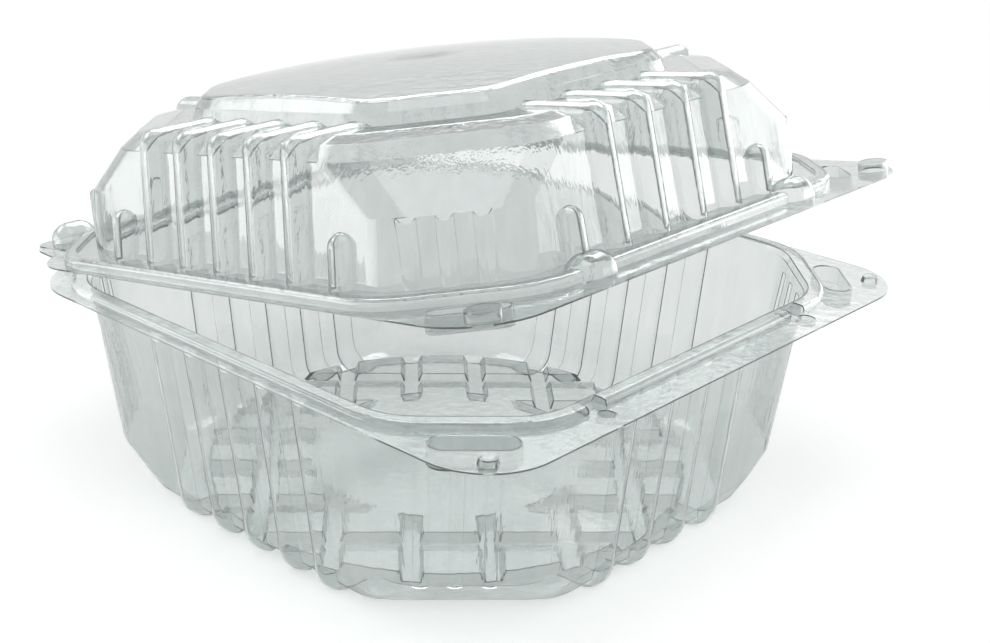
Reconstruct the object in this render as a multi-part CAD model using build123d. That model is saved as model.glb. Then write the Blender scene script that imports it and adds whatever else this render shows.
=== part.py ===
from build123d import *
import os
from math import cos, radians, sin, sqrt, tan

# Sheet and clearances, in mm
SHEET = 0.35               # thickness of the thermoformed sheet
SEAT_GAP = 0.35            # between the two flanges, and round the bead, when the pack is shut
PLUG_GAP = 0.5             # round each plug and button of the lid
OPEN_ANGLE = 9.9           # degrees that the lid stands open at rest

# Flange outline, shared by tray and lid
FLANGE_HALF_WIDTH = 76.0
FLANGE_FRONT = 82.9        # centre of the tub to the front edge
FLANGE_FRONT_RADIUS = 16.0
FLANGE_BACK = 66.0         # centre of the tub to the end of the rounded back corners
FLANGE_BACK_RADIUS = 16.0
HINGE_TAB_HALF_WIDTH = 63.0
HINGE_TAB_RADIUS = 4.0
HINGE_LINE = 82.0          # centre of the tub to the hinge crease
HINGE_EDGE = 0.45          # the lid's flange stops this far from the crease
HINGE_ROLL_RADIUS = 0.2    # rounded crease along the end of the tray's flange

# Tray
FLANGE_TOP = 52.5          # upper face of the tray's flange above the ground
WALL_TOP_HALF = 69.9       # outer face of the flat side wall, at the flange
WALL_DRAFT = 8.0           # degrees
FRONT_EXTRA_TOP = 1.5      # the front wall stands this much further out than the others, at the flange
FRONT_EXTRA_FOOT = 3.5     # the same, at the foot ring
WALL_TOP_FACET = 119.4     # x + y on the corner facet, at the flange
WALL_TOP_RADIUS = 16.4     # rounding between wall and facet, at the flange
BEVEL_Z = 12.5             # the corner facets lean in below this height
BEVEL_FACET = 111.6
BEVEL_RADIUS = 12.0
FOOT_FACET = 94.0
FOOT_RADIUS = 8.0
FOOT_EDGE_RADIUS = 6.0     # rounding between wall and foot ring
RIM_FLARE = 0.8

# Bead round the tray's opening
BEAD_HALF = 73.8           # outer foot of the bead
BEAD_FACET = 125.6
BEAD_RADIUS = 20.0
BEAD_HEIGHT = 1.6
BEAD_ROUND = 1.1
BEAD_BREAK_X = 36.4        # the bead is broken here, where the lid snaps over it
BEAD_BREAK_WIDTH = 5.4
BEAD_BREAK_DEPTH = 10.8

# Ribs of the tray
TRAY_RIB_RADIUS = 4.6
TRAY_RIB_RELIEF = 1.4      # how far a rib stands out of the wall
TRAY_RIB_CORE = 2.4        # depth of the rib's bar behind the middle of its rounding
TRAY_RIB_TOP_DROP = 2.4    # flange to the place where a rib has run out into the wall
TRAY_RIB_RUN_OUT = 2.4     # height of the slope at the top of a rib
FOOT_FLAT = 0.35           # taken off the round underside of each rib, where the pack stands
SIDE_RIB_COUNT = 5
SIDE_RIB_PITCH = 11.8
SIDE_RIB_SHIFT = 0.8       # the ribs of the side walls sit this much towards the front
FRONT_RIB_COUNT = 4
FRONT_RIB_PITCH = 13.1
RIB_INNER_END = 52.0       # centre of the tub to the inner end of a rib's leg
CORNER_RIB_COUNT = 3
CORNER_RIB_PITCH = 7.2
CORNER_RIB_RADIUS = 2.6
LID_CORNER_RELIEF = 0.9
TRAY_CORNER_RELIEF = 0.45

# Raised floor with its lattice of grooves
FLOOR_Z = 4.3              # upper face of the raised floor
FLOOR_RADIUS = 60.2
FLOOR_SLOPE = 14.0         # degrees of draft on the rim of the raised floor
DISC_RADIUS = 35.0         # plain disc in the middle
GROOVE_COUNT = 6
GROOVE_PITCH = 17.83
GROOVE_TOP_WIDTH = 5.4
GROOVE_FLOOR_WIDTH = 3.6
GROOVE_DEPTH = 2.1

# Corner pockets and buttons of the tray
POCKET_X = 63.9
POCKET_Y = 67.7
POCKET_LENGTH = 18.4
POCKET_WIDTH = 7.0
POCKET_DEPTH = 4.0
BUTTON_X = 68.6
BUTTON_Y = 75.4
BUTTON_RADIUS = 2.3
BUTTON_TAPER = 0.5
BUTTON_HEIGHT = 1.4
BREAK_POCKET_RADIUS = 2.3
BREAK_POCKET_DEPTH = 1.2
BREAK_POCKET_OUT = 2.2     # from the outer foot of the bead to the centre of the little pocket

# Lid, measured up from the upper face of its own flange
RIDGE_HEIGHT = 2.3
LEDGE_HALF = 71.6          # the ridge drops to the ledge inside this line
LEDGE_HEIGHT = 1.6
DOME_FOOT_HALF = 66.8
DOME_FRONT_EXTRA = 1.0
DOME_FOOT_FACET = 114.8
DOME_FOOT_RADIUS = 9.0
DOME_DRAFT = 6.5
DOME_BEVEL_Z = 15.5        # the corner facets lean in above this height
DOME_BEVEL_FACET = 114.2
DOME_BEVEL_RADIUS = 15.0
DOME_SHOULDER_Z = 25.5
DOME_SHOULDER_FACET = 101.0
DOME_SHOULDER_RADIUS = 16.0
DOME_BROW_Z = 28.4
DOME_BROW_HALF = 60.5
DOME_BROW_FACET = 95.4
DOME_BROW_RADIUS = 15.0
DOME_TOP_Z = 29.4
DOME_TOP_HALF = 55.0
DOME_TOP_FACET = 85.4
DOME_TOP_RADIUS = 12.0
LID_RIB_RADIUS = 3.6
LID_RIB_RELIEF = 2.8
LID_RIB_TOP = 30.6
LID_RIB_INNER_END = 44.0
SHORT_RIB_RADIUS = 3.0
SHORT_RIB_TOP = 12.5
SIDE_SHORT_RIB = 36.2
FRONT_SHORT_RIB = 32.6

# Raised panel of the lid
PANEL_SHIFT = 1.2          # the panel sits this much towards the hinge
PANEL_FOOT_HALF = 48.6
PANEL_FOOT_FACET = 78.0
PANEL_STEP_Z = 32.0        # the panel's wall leans in above this height
PANEL_STEP_HALF = 47.4
PANEL_STEP_FACET = 76.2
PANEL_EDGE_Z = 35.4
PANEL_EDGE_HALF = 44.6
PANEL_EDGE_FACET = 72.2
PANEL_RADIUS = 16.0
PANEL_CROWN_Z = 37.2       # top of the crowned panel
PANEL_CROWN_RADIUS = 500.0
PANEL_EDGE_RADIUS = 1.6

# Snap domes, plugs and buttons of the lid
SNAP_RADIUS = 4.4
SNAP_SPREAD = 2.8          # between the centres of a snap dome's two round ends
SNAP_X = 35.6
SNAP_Y = 73.6
SNAP_RISE = 0.2            # flange to the centre of a snap dome's rounding
REAR_DOME_X = 54.0
REAR_DOME_Y = 76.8
PLUG_DEPTH = 3.4           # below the lid's flange
LID_BUTTON_LENGTH = 7.4
LID_BUTTON_HEIGHT = 2.0

LID_FLANGE_TOP = FLANGE_TOP + SEAT_GAP + SHEET
HINGE_Z = FLANGE_TOP - HINGE_ROLL_RADIUS
FOOT_RING_Z = TRAY_RIB_RELIEF
OVERSHOOT = 1.0            # how far a cutting form runs past the face it cuts
OUTSIDE = 4.0              # how far a trimming form stands outside what it trims
LOW = (Align.CENTER, Align.CENTER, Align.MIN)


def octagon(half, front, facet, radius, z):
    """Square outline with cut corners, where x + y = facet, and rounded joints, as a face at height z."""
    side = facet - half
    end = facet - front
    corners = [(half, -side), (half, side), (side, half), (-side, half),
               (-half, side), (-half, -side), (-end, -front), (end, -front)]
    face = make_face(Polyline(*corners, close=True))
    return Pos(0, 0, z) * fillet(face.vertices(), radius)


def stack(levels, inset=0.0):
    """Loft through (z, half, front, facet, radius) levels, each drawn in by the inset."""
    sections = [octagon(half - inset, front - inset, facet - inset * sqrt(2), radius - inset, z)
                for z, half, front, facet, radius in levels]
    return loft(sections, ruled=True)


def prism(half, front, facet, radius, z_low, z_high):
    return extrude(octagon(half, front, facet, radius, z_low), amount=z_high - z_low)


def bar(points, radius, round_end=False):
    """Round bar through the points, with round corners and, if asked, a round far end."""
    balls = points[1:] if round_end else points[1:-1]
    parts = [Pos(*point) * Sphere(radius) for point in balls]
    for start, end in zip(points, points[1:]):
        run = Vector(*end) - Vector(*start)
        parts.append(Plane(origin=start, z_dir=run) * Cylinder(radius, run.length, align=LOW))
    return parts


def between(value_low, value_high, low, high, z):
    """Straight line from value_low at height low to value_high at height high."""
    return value_low + (value_high - value_low) * (z - low) / (high - low)


def flange_outline(tab_end):
    """Flange of tray or lid, seen from above, with the narrower hinge tab at the back."""
    depth = FLANGE_FRONT + FLANGE_BACK
    body = Pos(0, (FLANGE_BACK - FLANGE_FRONT) / 2) * Rectangle(2 * FLANGE_HALF_WIDTH, depth)
    front = body.vertices().group_by(Axis.Y)[0]
    body = fillet(front, FLANGE_FRONT_RADIUS)
    body = fillet(body.vertices().group_by(Axis.Y)[-1], FLANGE_BACK_RADIUS)
    tab = Pos(0, tab_end / 2) * Rectangle(2 * HINGE_TAB_HALF_WIDTH, tab_end)
    tab = fillet(tab.vertices().group_by(Axis.Y)[-1], HINGE_TAB_RADIUS)
    return body + tab


# The four walls: quarter turn, how many ribs, their pitch and their shift along the wall
WALLS = ((0, FRONT_RIB_COUNT, FRONT_RIB_PITCH, 0.0),
         (90, SIDE_RIB_COUNT, SIDE_RIB_PITCH, -SIDE_RIB_SHIFT),
         (180, SIDE_RIB_COUNT, SIDE_RIB_PITCH, 0.0),
         (270, SIDE_RIB_COUNT, SIDE_RIB_PITCH, SIDE_RIB_SHIFT))


def around_walls(make_rib):
    """Ribs on all four walls. Each rib is made for a wall that faces -Y."""
    ribs = []
    for turn, count, pitch, shift in WALLS:
        for index in range(count):
            offset = (index - (count - 1) / 2) * pitch + shift
            ribs += [Rot(0, 0, turn) * piece for piece in make_rib(offset, turn == 0)]
    return ribs


def around_corners(make_rib):
    """Shallow ribs on the four corner facets."""
    ribs = []
    for turn in (45, 135, 225, 315):
        for index in range(CORNER_RIB_COUNT):
            offset = (index - (CORNER_RIB_COUNT - 1) / 2) * CORNER_RIB_PITCH
            ribs += [Rot(0, 0, turn) * piece for piece in make_rib(offset)]
    return ribs


# Tray

def wall_half(z):
    """Half width of the tray over its flat side walls, outside, at height z."""
    return WALL_TOP_HALF - (FLANGE_TOP - z) * tan(radians(WALL_DRAFT))


def wall_front(z):
    """Centre of the tub to the front wall, outside, at height z."""
    return wall_half(z) + between(FRONT_EXTRA_FOOT, FRONT_EXTRA_TOP, FOOT_RING_Z, FLANGE_TOP, z)


def tray_facet(z):
    """x + y on the tray's corner facet at height z."""
    if z >= BEVEL_Z:
        return between(BEVEL_FACET, WALL_TOP_FACET, BEVEL_Z, FLANGE_TOP, z)
    return between(FOOT_FACET, BEVEL_FACET, FOOT_RING_Z, BEVEL_Z, z)


def tub(inset, top):
    """Tub of the tray: its outer face with no inset, its inner face with one sheet of inset."""
    edge_z = FOOT_RING_Z + FOOT_EDGE_RADIUS
    levels = []
    for angle in (90, 60, 30, 0):
        reach = FOOT_EDGE_RADIUS - inset
        z = edge_z - reach * sin(radians(angle))
        drawn_in = FOOT_EDGE_RADIUS - reach * cos(radians(angle)) - inset
        radius = between(FOOT_RADIUS, BEVEL_RADIUS, FOOT_RING_Z, BEVEL_Z, z)
        levels.append((z, wall_half(edge_z) - drawn_in, wall_front(edge_z) - drawn_in, tray_facet(z), radius))
    levels.append((BEVEL_Z, wall_half(BEVEL_Z), wall_front(BEVEL_Z), BEVEL_FACET, BEVEL_RADIUS))
    levels.append((FLANGE_TOP, WALL_TOP_HALF, wall_front(FLANGE_TOP), WALL_TOP_FACET, WALL_TOP_RADIUS))
    rim = (WALL_TOP_HALF + RIM_FLARE, wall_front(FLANGE_TOP) + RIM_FLARE,
           WALL_TOP_FACET + RIM_FLARE * sqrt(2), WALL_TOP_RADIUS)
    levels.append((FLANGE_TOP + BEAD_HEIGHT, *rim))
    if top > FLANGE_TOP + BEAD_HEIGHT:
        levels.append((top, *rim))
    return stack(levels, inset)


def tray_ribs(inset):
    """Round ribs down the walls, round the edge and in towards the raised floor."""
    radius = TRAY_RIB_RADIUS
    top_z = FLANGE_TOP - TRAY_RIB_TOP_DROP
    slope_z = top_z - TRAY_RIB_RUN_OUT
    profile = Circle(radius - inset)
    profile -= Pos(0, -TRAY_RIB_CORE - radius) * Rectangle(4 * radius, 2 * radius)

    def wall_rib(offset, front):
        wall = wall_front if front else wall_half
        sunk = radius - TRAY_RIB_RELIEF
        low_z = radius - FOOT_FLAT
        points = [(offset, sunk - wall(top_z), top_z), (offset, sunk - wall(low_z), low_z),
                  (offset, -RIB_INNER_END, low_z)]
        bend = FOOT_EDGE_RADIUS + TRAY_RIB_RELIEF - radius
        path = FilletPolyline(*points, radius=bend)
        start = Plane(origin=path @ 0, x_dir=(1, 0, 0), z_dir=path % 0)
        return [sweep(start * profile, path=path)]

    def corner_rib(offset):
        sunk = CORNER_RIB_RADIUS - TRAY_CORNER_RELIEF
        points = [(offset, sunk - tray_facet(z) / sqrt(2), z) for z in (BEVEL_Z, top_z)]
        return bar(points, CORNER_RIB_RADIUS - inset)

    ribs = Part() + around_walls(wall_rib) + around_corners(corner_rib)
    wide = WALL_TOP_HALF + OUTSIDE
    outline = [(z, wall_half(z) + rise, wall_front(z) + rise, tray_facet(z) + rise * sqrt(2), WALL_TOP_RADIUS)
               for z, rise in ((slope_z, TRAY_RIB_RELIEF), (top_z, 0.0))]
    low = (-OVERSHOOT, wide, wide, WALL_TOP_FACET + 2 * OUTSIDE, WALL_TOP_RADIUS)
    return ribs & stack([low] + outline, inset)


def below(height):
    size = 4 * FLANGE_HALF_WIDTH
    return Pos(0, 0, height - FLANGE_TOP) * Box(size, size, FLANGE_TOP, align=LOW)


def raised_floor(inset):
    """Raised round floor with grooves in two directions, from the ground up."""
    spread = tan(radians(FLOOR_SLOPE))
    top_z = FLOOR_Z - inset
    disc = Pos(0, 0, -OVERSHOOT) * Cone(FLOOR_RADIUS - inset + (top_z + OVERSHOOT) * spread,
                                        FLOOR_RADIUS - inset, top_z + OVERSHOOT, align=LOW)
    low_z = FLOOR_Z - GROOVE_DEPTH - inset
    low = GROOVE_FLOOR_WIDTH / 2 + inset
    high = GROOVE_TOP_WIDTH / 2 + inset
    rise = (high - low) * (top_z + OVERSHOOT - low_z) / (top_z - low_z)
    profile = make_face(Polyline((-low, low_z), (low, low_z), (low + rise, top_z + OVERSHOOT),
                                 (-low - rise, top_z + OVERSHOOT), close=True))
    length = 2 * (FLOOR_RADIUS + GROOVE_PITCH)
    groove = Pos(0, length / 2, 0) * extrude(Plane.XZ * profile, amount=length)
    grooves = []
    for turn in (45, -45):
        for index in range(GROOVE_COUNT):
            offset = (index - (GROOVE_COUNT - 1) / 2) * GROOVE_PITCH
            grooves.append(Rot(0, 0, turn) * Pos(offset, 0, 0) * groove)
    middle = Pos(0, 0, low_z - OVERSHOOT) * Cylinder(DISC_RADIUS - inset, 4 * FLOOR_Z, align=LOW)
    return disc - (Part() + grooves - middle)


def bead(inset):
    """Ridge round the opening, broken twice at the front."""
    front = BEAD_HALF + FRONT_EXTRA_TOP
    ridge = prism(BEAD_HALF - inset, front - inset, BEAD_FACET - inset * sqrt(2), BEAD_RADIUS - inset,
                  FLANGE_TOP - SHEET, FLANGE_TOP + BEAD_HEIGHT - inset)
    ridge = fillet(ridge.faces().sort_by(Axis.Z)[-1].edges(), BEAD_ROUND - inset / 2)
    gap = Box(BEAD_BREAK_WIDTH + 2 * inset, BEAD_BREAK_DEPTH, 2 * BEAD_HEIGHT + 2 * inset)
    middle = (front + wall_front(FLANGE_TOP)) / 2
    gaps = [Pos(side * BEAD_BREAK_X, -middle, FLANGE_TOP + BEAD_HEIGHT - inset) * gap for side in (-1, 1)]
    return ridge - gaps


def stadium(length, width, low_z, high_z):
    return Pos(0, 0, low_z) * extrude(SlotOverall(length, width), amount=high_z - low_z)


def build_tray():
    slab = extrude(Pos(0, 0, FLANGE_TOP - SHEET) * flange_outline(HINGE_LINE), amount=SHEET)
    crease_length = 2 * (HINGE_TAB_HALF_WIDTH - HINGE_TAB_RADIUS)
    crease = Pos(0, HINGE_LINE, HINGE_Z) * Rot(0, 90, 0) * Cylinder(HINGE_ROLL_RADIUS, crease_length)
    rim_z = FLANGE_TOP + BEAD_HEIGHT
    outside = tub(0, rim_z)
    break_y = BEAD_HALF + FRONT_EXTRA_TOP + BREAK_POCKET_OUT
    added = [crease, bead(0), outside, tray_ribs(0)]
    removed = [tub(SHEET, rim_z + OVERSHOOT) + tray_ribs(SHEET) - [raised_floor(0), below(SHEET)],
               bead(SHEET) - outside]
    for side in (-1, 1):
        place = Pos(side * POCKET_X, -POCKET_Y, 0) * Rot(0, 0, side * 45)
        added.append(place * stadium(POCKET_LENGTH, POCKET_WIDTH, FLANGE_TOP - POCKET_DEPTH - SHEET, FLANGE_TOP))
        removed.append(place * stadium(POCKET_LENGTH - 2 * SHEET, POCKET_WIDTH - 2 * SHEET,
                                       FLANGE_TOP - POCKET_DEPTH, FLANGE_TOP + OVERSHOOT))
        place = Pos(side * BEAD_BREAK_X, -break_y, FLANGE_TOP - BREAK_POCKET_DEPTH)
        added.append(place * Pos(0, 0, -SHEET) * Cylinder(BREAK_POCKET_RADIUS, BREAK_POCKET_DEPTH, align=LOW))
        removed.append(place * Cylinder(BREAK_POCKET_RADIUS - SHEET, 2 * BREAK_POCKET_DEPTH, align=LOW))
        place = Pos(side * BUTTON_X, -BUTTON_Y, FLANGE_TOP - SHEET)
        added.append(place * Cone(BUTTON_RADIUS, BUTTON_RADIUS - BUTTON_TAPER, BUTTON_HEIGHT + SHEET, align=LOW))
        removed.append(place * Pos(0, 0, -OVERSHOOT) * Cylinder(
            BUTTON_RADIUS - 2 * SHEET, BUTTON_HEIGHT + OVERSHOOT, align=LOW))
    return slab + added - [raised_floor(SHEET), below(0)] - removed


# Lid, built shut and upright, with the upper face of its flange at height 0

def dome_half(z):
    """Half width of the lid over its flat side walls, outside, at height z."""
    return DOME_FOOT_HALF - (z - LEDGE_HEIGHT) * tan(radians(DOME_DRAFT))


def dome(inset):
    low_z = -SHEET - OVERSHOOT * (inset > 0)
    levels = [(low_z, dome_half(-SHEET), DOME_FOOT_FACET, DOME_FOOT_RADIUS),
              (DOME_BEVEL_Z, dome_half(DOME_BEVEL_Z), DOME_BEVEL_FACET, DOME_BEVEL_RADIUS),
              (DOME_SHOULDER_Z, dome_half(DOME_SHOULDER_Z), DOME_SHOULDER_FACET, DOME_SHOULDER_RADIUS),
              (DOME_BROW_Z - inset / 2, DOME_BROW_HALF, DOME_BROW_FACET, DOME_BROW_RADIUS),
              (DOME_TOP_Z - inset, DOME_TOP_HALF, DOME_TOP_FACET, DOME_TOP_RADIUS)]
    return stack([(z, half, half + DOME_FRONT_EXTRA, facet, radius) for z, half, facet, radius in levels], inset)


def lid_ribs(inset):
    """Tall round ribs up the walls and in to the panel, low ones beside them, shallow ones at the corners."""
    low_z = -SHEET - OVERSHOOT

    def wall_points(offset, front, radius, heights):
        sunk = radius - LID_RIB_RELIEF - DOME_FRONT_EXTRA * front
        return [(offset, sunk - dome_half(z), z) for z in heights]

    def tall_rib(offset, front):
        crest = LID_RIB_TOP - LID_RIB_RADIUS
        points = wall_points(offset, front, LID_RIB_RADIUS, (low_z, crest))
        return bar(points + [(offset, -LID_RIB_INNER_END, crest)], LID_RIB_RADIUS - inset)

    def low_rib(offset, front):
        points = wall_points(offset, front, SHORT_RIB_RADIUS, (low_z, SHORT_RIB_TOP - SHORT_RIB_RADIUS))
        return bar(points, SHORT_RIB_RADIUS - inset, round_end=True)

    def corner_rib(offset):
        sunk = CORNER_RIB_RADIUS - LID_CORNER_RELIEF
        points = [(offset, sunk - facet / sqrt(2), z)
                  for facet, z in ((DOME_FOOT_FACET, low_z), (DOME_BEVEL_FACET, DOME_BEVEL_Z))]
        return bar(points, CORNER_RIB_RADIUS - inset)

    corner_ribs = Part() + around_corners(corner_rib)
    wide = FLANGE_HALF_WIDTH + OUTSIDE
    outer = DOME_BEVEL_FACET + OUTSIDE
    outer_z = between(DOME_SHOULDER_Z, DOME_BEVEL_Z, DOME_SHOULDER_FACET, DOME_BEVEL_FACET, outer)
    slope = stack([(low_z - OVERSHOOT, wide, wide, outer, DOME_FOOT_RADIUS),
                   (outer_z, wide, wide, outer, DOME_FOOT_RADIUS),
                   (DOME_SHOULDER_Z, wide, wide, DOME_SHOULDER_FACET, DOME_FOOT_RADIUS)], inset)
    ribs = around_walls(tall_rib)
    for turn, count, pitch, shift in WALLS:
        reach = FRONT_SHORT_RIB if turn == 0 else SIDE_SHORT_RIB
        for side in (-1, 1):
            ribs += [Rot(0, 0, turn) * piece for piece in low_rib(side * reach + shift, turn == 0)]
    size = 4 * FLANGE_HALF_WIDTH
    keep = Pos(0, 0, -SHEET - OVERSHOOT * (inset > 0)) * Box(size, size, 2 * LID_RIB_TOP, align=LOW)
    return (Part() + ribs + (corner_ribs & slope)) & keep


def panel(inset):
    """Raised panel with a crowned top."""
    low_z = DOME_TOP_Z - SHEET - OVERSHOOT
    high_z = PANEL_CROWN_Z + OVERSHOOT
    tip_half = between(PANEL_STEP_HALF, PANEL_EDGE_HALF, PANEL_STEP_Z, PANEL_EDGE_Z, high_z)
    tip_facet = between(PANEL_STEP_FACET, PANEL_EDGE_FACET, PANEL_STEP_Z, PANEL_EDGE_Z, high_z)
    levels = [(low_z, PANEL_FOOT_HALF, PANEL_FOOT_FACET), (PANEL_STEP_Z, PANEL_STEP_HALF, PANEL_STEP_FACET),
              (high_z, tip_half, tip_facet)]
    body = stack([(z, half, half, facet, PANEL_RADIUS) for z, half, facet in levels], inset)
    crown = Pos(0, 0, PANEL_CROWN_Z - PANEL_CROWN_RADIUS) * Sphere(PANEL_CROWN_RADIUS - inset)
    body &= crown
    top = body.faces().sort_by(Axis.Z)[-1]
    return Pos(0, PANEL_SHIFT, 0) * fillet(top.edges(), PANEL_EDGE_RADIUS)


def round_top(radius, spread, centre_z, inset):
    """Rounded bump along X with two round ends, cut off level below the flange."""
    low_z = -SHEET - OVERSHOOT * (inset > 0)
    bump = Part() + [Pos(side * spread / 2, 0, centre_z) * Sphere(radius - inset) for side in (-1, 1)]
    bump += Pos(0, 0, centre_z) * Rot(0, 90, 0) * Cylinder(radius - inset, spread)
    bump += Pos(0, 0, low_z) * extrude(SlotOverall(spread + 2 * (radius - inset), 2 * (radius - inset)),
                                       amount=centre_z - low_z)
    keep = Pos(0, 0, low_z) * Box(4 * radius, 4 * radius, 4 * radius, align=LOW)
    return bump & keep


def build_lid():
    tab_end = HINGE_LINE - HINGE_EDGE
    slab = extrude(Pos(0, 0, -SHEET) * flange_outline(tab_end), amount=SHEET)
    over_bead = SEAT_GAP + SHEET
    ridge_half = BEAD_HALF + over_bead
    ridge_facet = BEAD_FACET + over_bead * sqrt(2)
    ridge_width = ridge_half - LEDGE_HALF

    def rim(inset):
        low_z = -SHEET - OVERSHOOT * (inset > 0)
        part = prism(ridge_half - inset, ridge_half + FRONT_EXTRA_TOP - inset, ridge_facet - inset * sqrt(2),
                     BEAD_RADIUS - inset, low_z, RIDGE_HEIGHT - inset)
        part = fillet(part.faces().sort_by(Axis.Z)[-1].edges(), BEAD_ROUND - inset / 2)
        return part - prism(LEDGE_HALF + inset, LEDGE_HALF + FRONT_EXTRA_TOP + inset,
                            ridge_facet + (inset - ridge_width) * sqrt(2), BEAD_RADIUS - ridge_width + inset,
                            LEDGE_HEIGHT - inset, RIDGE_HEIGHT + OVERSHOOT)

    def bumps(inset):
        snap = round_top(SNAP_RADIUS, SNAP_SPREAD, SNAP_RISE, inset)
        rear = round_top(SNAP_RADIUS, SNAP_SPREAD, 0, inset)
        return [Pos(side * x, y, 0) * bump for side in (-1, 1)
                for x, y, bump in ((SNAP_X, -SNAP_Y, snap), (REAR_DOME_X, REAR_DOME_Y, rear))]

    width = 2 * (BUTTON_RADIUS + PLUG_GAP + SHEET)
    button_x = BUTTON_X - (LID_BUTTON_LENGTH - width) / 2
    added = [rim(0), dome(0), lid_ribs(0), panel(0)] + bumps(0)
    removed = [rim(SHEET), dome(SHEET), lid_ribs(SHEET), panel(SHEET)] + bumps(SHEET)
    plugs = []
    plug_length = POCKET_LENGTH - 2 * (SHEET + PLUG_GAP)
    plug_width = POCKET_WIDTH - 2 * (SHEET + PLUG_GAP)
    for side in (-1, 1):
        place = Pos(side * POCKET_X, -POCKET_Y, 0) * Rot(0, 0, side * 45)
        added.append(place * stadium(plug_length, plug_width, -SHEET - PLUG_DEPTH, 0))
        plugs.append(place * stadium(plug_length - 2 * SHEET, plug_width - 2 * SHEET, -PLUG_DEPTH, OVERSHOOT))
        place = Pos(side * button_x, -BUTTON_Y, 0)
        added.append(place * stadium(LID_BUTTON_LENGTH, width, -SHEET, LID_BUTTON_HEIGHT))
        removed.append(place * stadium(LID_BUTTON_LENGTH - 2 * SHEET, width - 2 * SHEET,
                                       -SHEET - OVERSHOOT, LID_BUTTON_HEIGHT - SHEET))
    shell = slab + added - removed - plugs
    shut = Pos(0, 0, LID_FLANGE_TOP) * shell
    return shut.rotate(Axis((0, HINGE_LINE, HINGE_Z), (1, 0, 0)), -OPEN_ANGLE)


tray = build_tray()
lid = build_lid()
os.makedirs("parts", exist_ok=True)
for name, part in (("tray", tray), ("lid", lid)):
    export_step(part, f"parts/{name}.step")
    print(name, part.volume, len(part.solids()), part.bounding_box())
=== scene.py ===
import math

import bpy
from mathutils import Matrix, Vector

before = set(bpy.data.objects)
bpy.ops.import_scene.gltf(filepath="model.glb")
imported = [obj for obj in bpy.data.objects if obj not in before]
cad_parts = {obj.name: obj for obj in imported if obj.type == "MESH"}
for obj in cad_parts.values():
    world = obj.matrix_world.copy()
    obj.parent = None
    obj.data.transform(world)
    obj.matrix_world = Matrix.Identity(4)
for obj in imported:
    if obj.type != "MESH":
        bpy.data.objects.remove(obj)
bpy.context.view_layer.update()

# Camera of the photograph: place in metres, angles in degrees, lens and sensor in millimetres.
# The azimuth is counted from +Y towards +X.
CAMERA_PLACE = (-0.263261, -0.249138, 0.186382)
CAMERA_AZIMUTH = 48.361
CAMERA_DOWN = 22.061
CAMERA_ROLL = 1.662
CAMERA_LENS = 57.973
SENSOR_WIDTH = 36.0
NEAREST_SEEN = 0.01

# Colours of the clear sheet. It varies between the thin and the thick tint while the sum of haze
# and drag lines goes through the tint range. Where it is seen edge on it turns to the darker slant
# tint, which is partly the longer path through the sheet and partly painted shade on steep walls
# and rib flanks. A lamp's light that passes through it takes the shadow tint.
TINT_THIN = (0.800, 0.829, 0.822, 1.0)
TINT_THICK = (0.745, 0.778, 0.771, 1.0)
TINT_RANGE = (0.75, 1.25)
SLANT_TINT_AND_SHADE = (0.370, 0.455, 0.440, 1.0)
SLANT_SHADE_POWER = 4.0
SHADOW_TINT = (0.86, 0.88, 0.875, 1.0)

# Surface of the clear sheet. Its roughness varies while the haze goes through the haze range.
PLASTIC_IOR = 1.59
CLEARNESS = 0.93
ROUGHNESS = (0.008, 0.035)
HAZE_RANGE = (0.35, 0.65)

# Noise patterns of the sheet, each as its scale per metre and its detail. The drag lines are
# stretched down the walls. Heights are in metres.
HAZE = (55.0, 4.0)
DRAG = (420.0, 3.0)
DRAG_STRETCH = (1.0, 1.0, 0.035)
DRAG_HEIGHT = 0.00006
PEEL = (150.0, 2.0)
PEEL_HEIGHT = 0.00001

# Floor and world. The floor lies a little under the feet, so the two faces don't flicker.
FLOOR_HALF = 3.0
FLOOR_DROP = 0.0002
FLOOR_COLOUR = (0.90, 0.90, 0.90, 1.0)
FLOOR_GLOW = 0.30
WORLD_STRENGTH = 0.72
WHITE = (1.0, 1.0, 1.0, 1.0)

# The lamp lights the scene. The cards give the sheet its highlights: they show in gloss, and those
# above LOW_CARD also through the sheet. Each one: place, target and size in metres, and radiance.
LAMP = ((-0.10, -0.10, 1.00), (0.0, 0.0, 0.05), (0.60, 0.60), 1.5)
CARDS = {
    "back_right": ((0.44, 0.48, 0.74), (0.0, 0.0, 0.06), (0.85, 0.40), 6.0),
    "back_low": ((0.60, 0.57, 0.53), (0.0, 0.0, 0.05), (1.00, 0.26), 2.5),
    "back_left": ((-0.22, 0.64, 0.50), (0.0, 0.0, 0.08), (0.60, 0.32), 3.2),
    "right_high": ((0.62, 0.18, 0.62), (0.0, 0.0, 0.08), (0.50, 0.32), 5.0),
    "right_low": ((0.40, -0.15, 0.11), (0.0, 0.0, 0.08), (0.54, 0.27), 4.8),
    "left_low": ((-0.34, 0.28, 0.07), (0.0, 0.0, 0.08), (0.50, 0.22), 4.0),
}
LOW_CARD = 0.3
EDGE_SOFTNESS = 0.6

BOUNCES = {
    "max_bounces": 11,
    "diffuse_bounces": 1,
    "glossy_bounces": 3,
    "transmission_bounces": 11,
    "transparent_max_bounces": 8,
}

# Size in pixels of a cell of the node editor's grid
CELL = (220, 220)
# Colour sockets of a Mix node, whose names repeat for every kind of data
MIX_SHARE, MIX_FIRST, MIX_SECOND, MIX_RESULT = 0, 6, 7, 2


def empty_tree(owner):
    owner.use_nodes = True
    owner.node_tree.nodes.clear()
    return owner.node_tree


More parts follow.
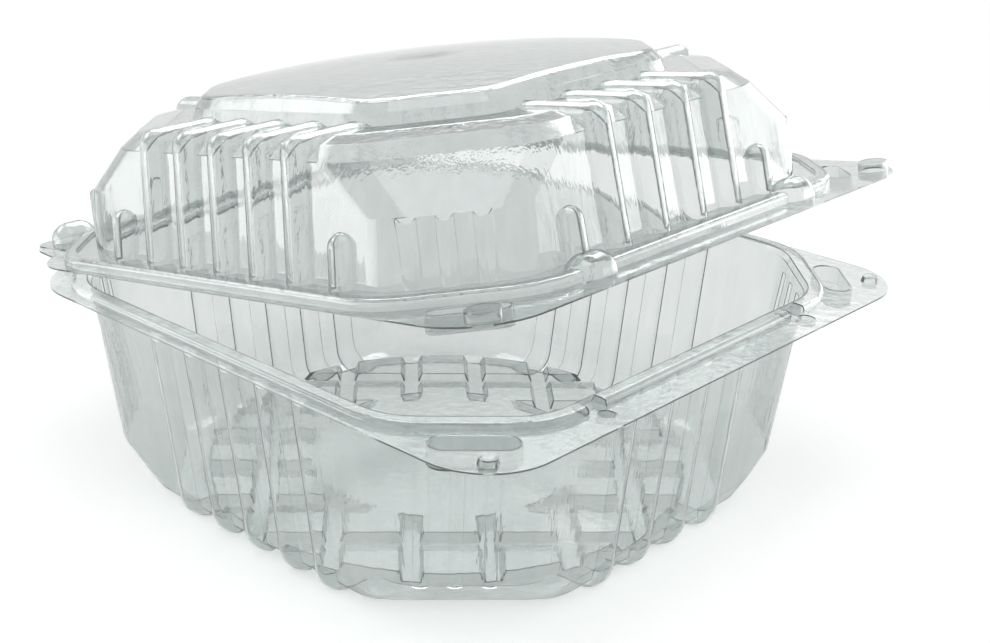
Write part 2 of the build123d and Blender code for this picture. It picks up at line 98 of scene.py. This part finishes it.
def node(tree, kind, cell, inputs=None, **settings):
    """Add a node at a cell of the grid. An input is a plain value or the socket that feeds it."""
    made = tree.nodes.new(kind)
    made.location = (cell[0] * CELL[0], cell[1] * CELL[1])
    for name, value in settings.items():
        setattr(made, name, value)
    for key, value in (inputs or {}).items():
        if isinstance(value, bpy.types.NodeSocket):
            tree.links.new(value, made.inputs[key])
        else:
            made.inputs[key].default_value = value
    return made


def maths(tree, operation, cell, first, second):
    made = node(tree, "ShaderNodeMath", cell, {0: first, 1: second}, operation=operation)
    return made.outputs["Value"]


def noise(tree, cell, place, pattern):
    scale, detail = pattern
    inputs = {"Vector": place, "Scale": scale, "Detail": detail}
    return node(tree, "ShaderNodeTexNoise", cell, inputs).outputs["Fac"]


def spread(tree, cell, value, limits, results=(0.0, 1.0)):
    """Map a value between two limits onto two results."""
    inputs = {"Value": value, "From Min": limits[0], "From Max": limits[1],
              "To Min": results[0], "To Max": results[1]}
    return node(tree, "ShaderNodeMapRange", cell, inputs).outputs["Result"]


def mix_colour(tree, cell, share, first, second):
    inputs = {MIX_SHARE: share, MIX_FIRST: first, MIX_SECOND: second}
    return node(tree, "ShaderNodeMix", cell, inputs, data_type="RGBA").outputs[MIX_RESULT]


def clear_sheet():
    """Clear thermoformed sheet: tinted and glossy, with drag lines and a fine orange peel."""
    material = bpy.data.materials.new("clear_sheet_plastic")
    tree = empty_tree(material)
    place = node(tree, "ShaderNodeTexCoord", (-6, 0)).outputs["Object"]
    stretched = node(tree, "ShaderNodeMapping", (-5, -1),
                     {"Vector": place, "Scale": DRAG_STRETCH}).outputs["Vector"]
    haze = noise(tree, (-4, 1), place, HAZE)
    drag = noise(tree, (-4, 0), stretched, DRAG)
    peel = noise(tree, (-4, -2), place, PEEL)

    thickness = spread(tree, (-2, 1), maths(tree, "ADD", (-3, 1), haze, drag), TINT_RANGE)
    body = mix_colour(tree, (-1, 1), thickness, TINT_THIN, TINT_THICK)
    # Painted shade: the base colour turns to the darker slant tint where the sheet is seen edge
    # on. This stands partly for the longer path through the sheet and partly for the shade on
    # steep walls and rib flanks.
    facing = node(tree, "ShaderNodeLayerWeight", (-2, 3)).outputs["Facing"]
    slant_shade_share = maths(tree, "POWER", (-1, 3), facing, SLANT_SHADE_POWER)
    lines = node(tree, "ShaderNodeBump", (-1, -1), {"Height": drag, "Distance": DRAG_HEIGHT})
    skin = node(tree, "ShaderNodeBump", (0, -1), {
        "Height": peel,
        "Distance": PEEL_HEIGHT,
        "Normal": lines.outputs["Normal"],
    })
    plastic = node(tree, "ShaderNodeBsdfPrincipled", (2, 0), {
        "Base Color": mix_colour(tree, (0, 2), slant_shade_share, body, SLANT_TINT_AND_SHADE),
        "Roughness": spread(tree, (-1, 0), haze, HAZE_RANGE, ROUGHNESS),
        "IOR": PLASTIC_IOR,
        "Normal": skin.outputs["Normal"],
        "Transmission Weight": CLEARNESS,
    })

    shadow = node(tree, "ShaderNodeBsdfTransparent", (2, -3), {"Color": SHADOW_TINT})
    mixed = node(tree, "ShaderNodeMixShader", (4, 0), {
        "Fac": node(tree, "ShaderNodeLightPath", (2, 3)).outputs["Is Shadow Ray"],
        1: plastic.outputs["BSDF"],
        2: shadow.outputs["BSDF"],
    })
    node(tree, "ShaderNodeOutputMaterial", (5, 0), {"Surface": mixed.outputs["Shader"]})
    return material


def seen_rays(tree):
    """1 for a camera, glossy or transmission ray, 0 for the rest."""
    path = node(tree, "ShaderNodeLightPath", (-4, 1)).outputs
    first = maths(tree, "MAXIMUM", (-3, 1), path["Is Camera Ray"], path["Is Glossy Ray"])
    return maths(tree, "MAXIMUM", (-2, 1), first, path["Is Transmission Ray"])


def floor_material():
    """Pale matt floor that keeps shadows, with a glow that lifts it to white where it is seen."""
    material = bpy.data.materials.new("pale_floor")
    tree = empty_tree(material)
    strength = maths(tree, "MULTIPLY", (-1, 1), seen_rays(tree), FLOOR_GLOW)
    glow = node(tree, "ShaderNodeEmission", (0, 1), {"Strength": strength})
    matt = node(tree, "ShaderNodeBsdfDiffuse", (0, 0), {"Color": FLOOR_COLOUR})
    total = node(tree, "ShaderNodeAddShader", (1, 0), {
        0: matt.outputs["BSDF"],
        1: glow.outputs["Emission"],
    })
    node(tree, "ShaderNodeOutputMaterial", (2, 0), {"Surface": total.outputs["Shader"]})
    return material


def add_camera():
    azimuth, down, roll = map(math.radians, (CAMERA_AZIMUTH, CAMERA_DOWN, CAMERA_ROLL))
    level = math.cos(down)
    forward = Vector((math.sin(azimuth) * level, math.cos(azimuth) * level, -math.sin(down)))
    right = forward.cross(Vector((0, 0, 1))).normalized()
    up = right.cross(forward)
    right_rolled = right * math.cos(roll) + up * math.sin(roll)
    up_rolled = up * math.cos(roll) - right * math.sin(roll)
    turn = Matrix((right_rolled, up_rolled, -forward)).transposed()

    data = bpy.data.cameras.new("photo_camera")
    data.lens = CAMERA_LENS
    data.sensor_width = SENSOR_WIDTH
    data.clip_start = NEAREST_SEEN
    camera = bpy.data.objects.new("photo_camera", data)
    camera.matrix_world = Matrix.Translation(CAMERA_PLACE) @ turn.to_4x4()
    bpy.context.scene.collection.objects.link(camera)
    bpy.context.scene.camera = camera


def add_floor():
    h = FLOOR_HALF
    mesh = bpy.data.meshes.new("floor")
    mesh.from_pydata([(-h, -h, 0), (h, -h, 0), (h, h, 0), (-h, h, 0)], [], [(0, 1, 2, 3)])
    mesh.materials.append(floor_material())
    floor = bpy.data.objects.new("floor", mesh)
    floor.location.z = -FLOOR_DROP
    bpy.context.scene.collection.objects.link(floor)


def soften_edges(data):
    """Fade a card from its middle to nothing at its edges."""
    data.use_nodes = True
    tree = data.node_tree
    glow = next(n for n in tree.nodes if n.type == "EMISSION")
    across = node(tree, "ShaderNodeNewGeometry", (-6, 0)).outputs["Parametric"]
    parts = node(tree, "ShaderNodeSeparateXYZ", (-5, 0), {"Vector": across}).outputs
    shares = []
    for row, axis in enumerate("XY"):
        rest = maths(tree, "SUBTRACT", (-4, -row), 1.0, parts[axis])
        share = maths(tree, "MULTIPLY", (-3, -row), parts[axis], rest)
        # The product of the two is a quarter in the middle, which the 4 brings to 1
        shares.append(maths(tree, "MULTIPLY", (-2, -row), share, 4.0))
    both = maths(tree, "MULTIPLY", (-1, 0), *shares)
    tree.links.new(maths(tree, "POWER", (0, 0), both, EDGE_SOFTNESS), glow.inputs["Strength"])


def add_softbox(name, place, target, size, radiance, card=True):
    data = bpy.data.lights.new(name, "AREA")
    data.shape = "RECTANGLE"
    data.size, data.size_y = size
    data.energy = radiance * math.pi * size[0] * size[1]
    if card:
        soften_edges(data)
    lamp = bpy.data.objects.new(name, data)
    lamp.location = place
    aim = Vector(target) - Vector(place)
    lamp.rotation_euler = aim.to_track_quat("-Z", "Y").to_euler()
    lamp.visible_camera = False
    lamp.visible_transmission = card and place[2] > LOW_CARD
    lamp.visible_diffuse = not card
    bpy.context.scene.collection.objects.link(lamp)


def add_world():
    """Even pale light, and plain white where the world is seen."""
    world = bpy.data.worlds.new("studio")
    tree = empty_tree(world)
    light = node(tree, "ShaderNodeBackground", (0, 0),
                 {"Color": WHITE, "Strength": WORLD_STRENGTH})
    white = node(tree, "ShaderNodeBackground", (0, -1), {"Color": WHITE})
    mixed = node(tree, "ShaderNodeMixShader", (1, 0), {
        "Fac": seen_rays(tree),
        1: light.outputs["Background"],
        2: white.outputs["Background"],
    })
    node(tree, "ShaderNodeOutputWorld", (2, 0), {"Surface": mixed.outputs["Shader"]})
    bpy.context.scene.world = world


scene = bpy.context.scene
scene.view_settings.view_transform = "Standard"
for name, count in BOUNCES.items():
    setattr(scene.cycles, name, count)

sheet = clear_sheet()
for name in ("tray", "lid"):
    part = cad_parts[name]
    part.data.materials.clear()
    part.data.materials.append(sheet)

add_camera()
add_floor()
add_world()
add_softbox("lamp", *LAMP, card=False)
for name, box in CARDS.items():
    add_softbox(name, *box)
